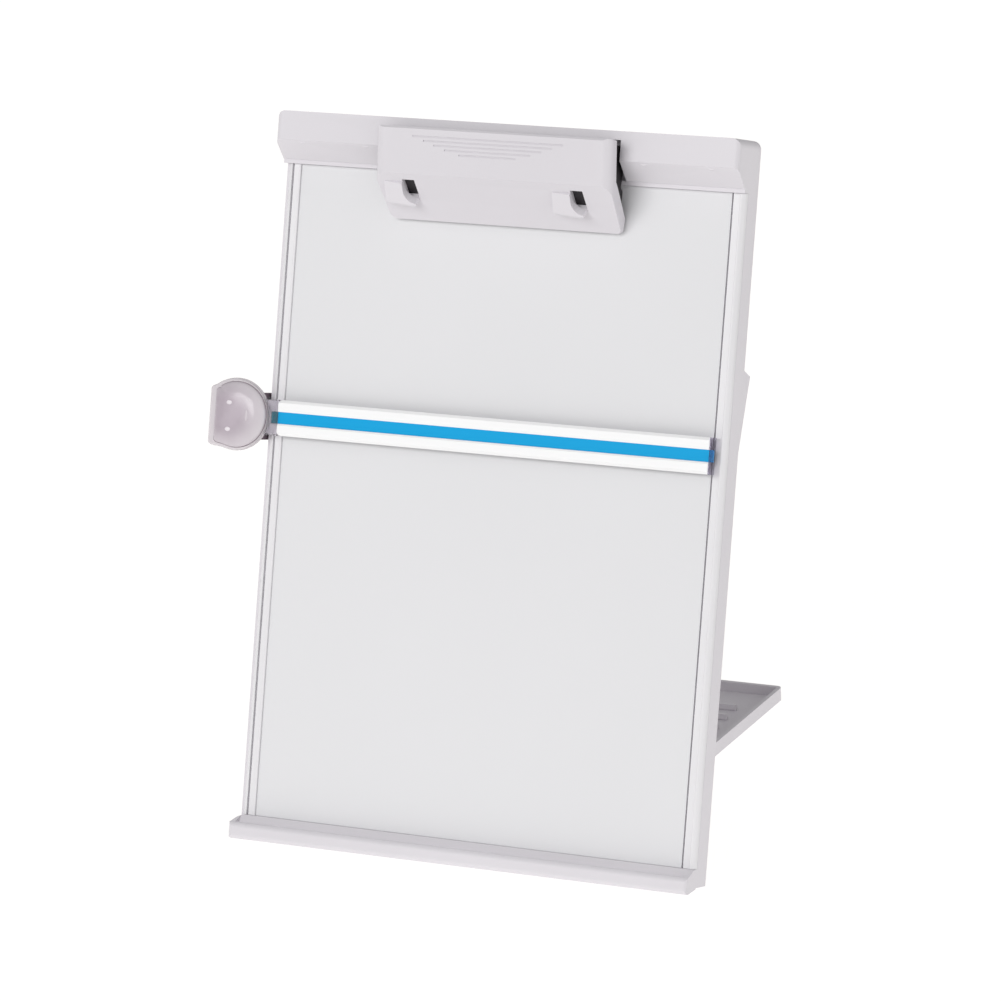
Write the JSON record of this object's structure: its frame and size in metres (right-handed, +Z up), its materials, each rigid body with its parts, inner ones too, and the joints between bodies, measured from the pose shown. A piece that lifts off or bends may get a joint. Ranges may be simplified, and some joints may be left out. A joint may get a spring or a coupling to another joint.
{
  "type": "desktop document holder",
  "caption": "Leaning plastic desktop document holder with a spring clip, paper ledge, sliding line guide with side knob, and a folding rear foot with a prop.",
  "frame": {"origin": "on the floor plane, halfway across the board, at the middle of the rubber strip that the board stands on", "axes": "+X to the user's right, +Y backwards from the user, +Z up"},
  "size_m": [0.2534, 0.2454, 0.3257],
  "materials": {
    "light_grey_plastic": "fine texture",
    "panel_grey": "satin",
    "white_plastic": "gloss",
    "smoky_clear_plastic": "clear",
    "blue_strip": "gloss",
    "dark_grey_plastic": "matte",
    "steel": "satin",
    "rubber": "matte",
    "light_rubber": "matte"
  },
  "bodies": {
    "board": {"back_shell": "light_grey_plastic", "panel_sheet": "panel_grey", "left_rail": "light_grey_plastic", "right_rail": "light_grey_plastic", "header_cap": "light_grey_plastic", "ledge_bar": "light_grey_plastic", "base_strip": "light_rubber", "header_screws": "steel", "ledge_screws": "steel", "clip_bracket": "steel", "clip_screws": "steel", "clip_axle": "steel", "clip_spring": "steel", "foot_pins": "steel", "prop_pin": "steel"},
    "clip": {"clip_cover": "light_grey_plastic", "clip_frame": "dark_grey_plastic", "clip_jaw_pad": "rubber"},
    "guide": {"slide_carriage": "dark_grey_plastic", "slide_spring": "steel", "guide_ruler": "smoky_clear_plastic", "guide_stripe": "blue_strip", "guide_cover": "white_plastic", "knob_base": "smoky_clear_plastic", "knob_cap": "smoky_clear_plastic"},
    "foot": {"foot_tray": "light_grey_plastic", "foot_pads": "rubber"},
    "prop": {"prop_arm": "light_grey_plastic"}
  },
  "joints": [
    {"name": "clip_hinge", "type": "hinge", "parent": "board", "child": "clip", "pos_m": [0, 0.07915, 0.30634], "axis": [-1, 0, 0], "range_deg": [0, 22], "stiffness_Nm_per_rad": 0.3, "springref_deg": -22.92, "deforming": ["clip_spring"]},
    {"name": "guide_slide", "type": "slide", "parent": "board", "child": "guide", "axis": [0, 0.309, 0.9511], "range_m": [-0.165, 0.08]},
    {"name": "foot_fold", "type": "hinge", "parent": "board", "child": "foot", "pos_m": [0, 0.00251, 0.00897], "axis": [1, 0, 0], "range_deg": [0, 72]},
    {"name": "prop_fold", "type": "hinge", "parent": "board", "child": "prop", "pos_m": [0, 0.02135, 0.06857], "axis": [1, 0, 0], "range_deg": [0, 103]}
  ],
  "couplings": [
    {"joint": "prop_fold", "follows": "foot_fold", "ratio": 1.4235}
  ]
}
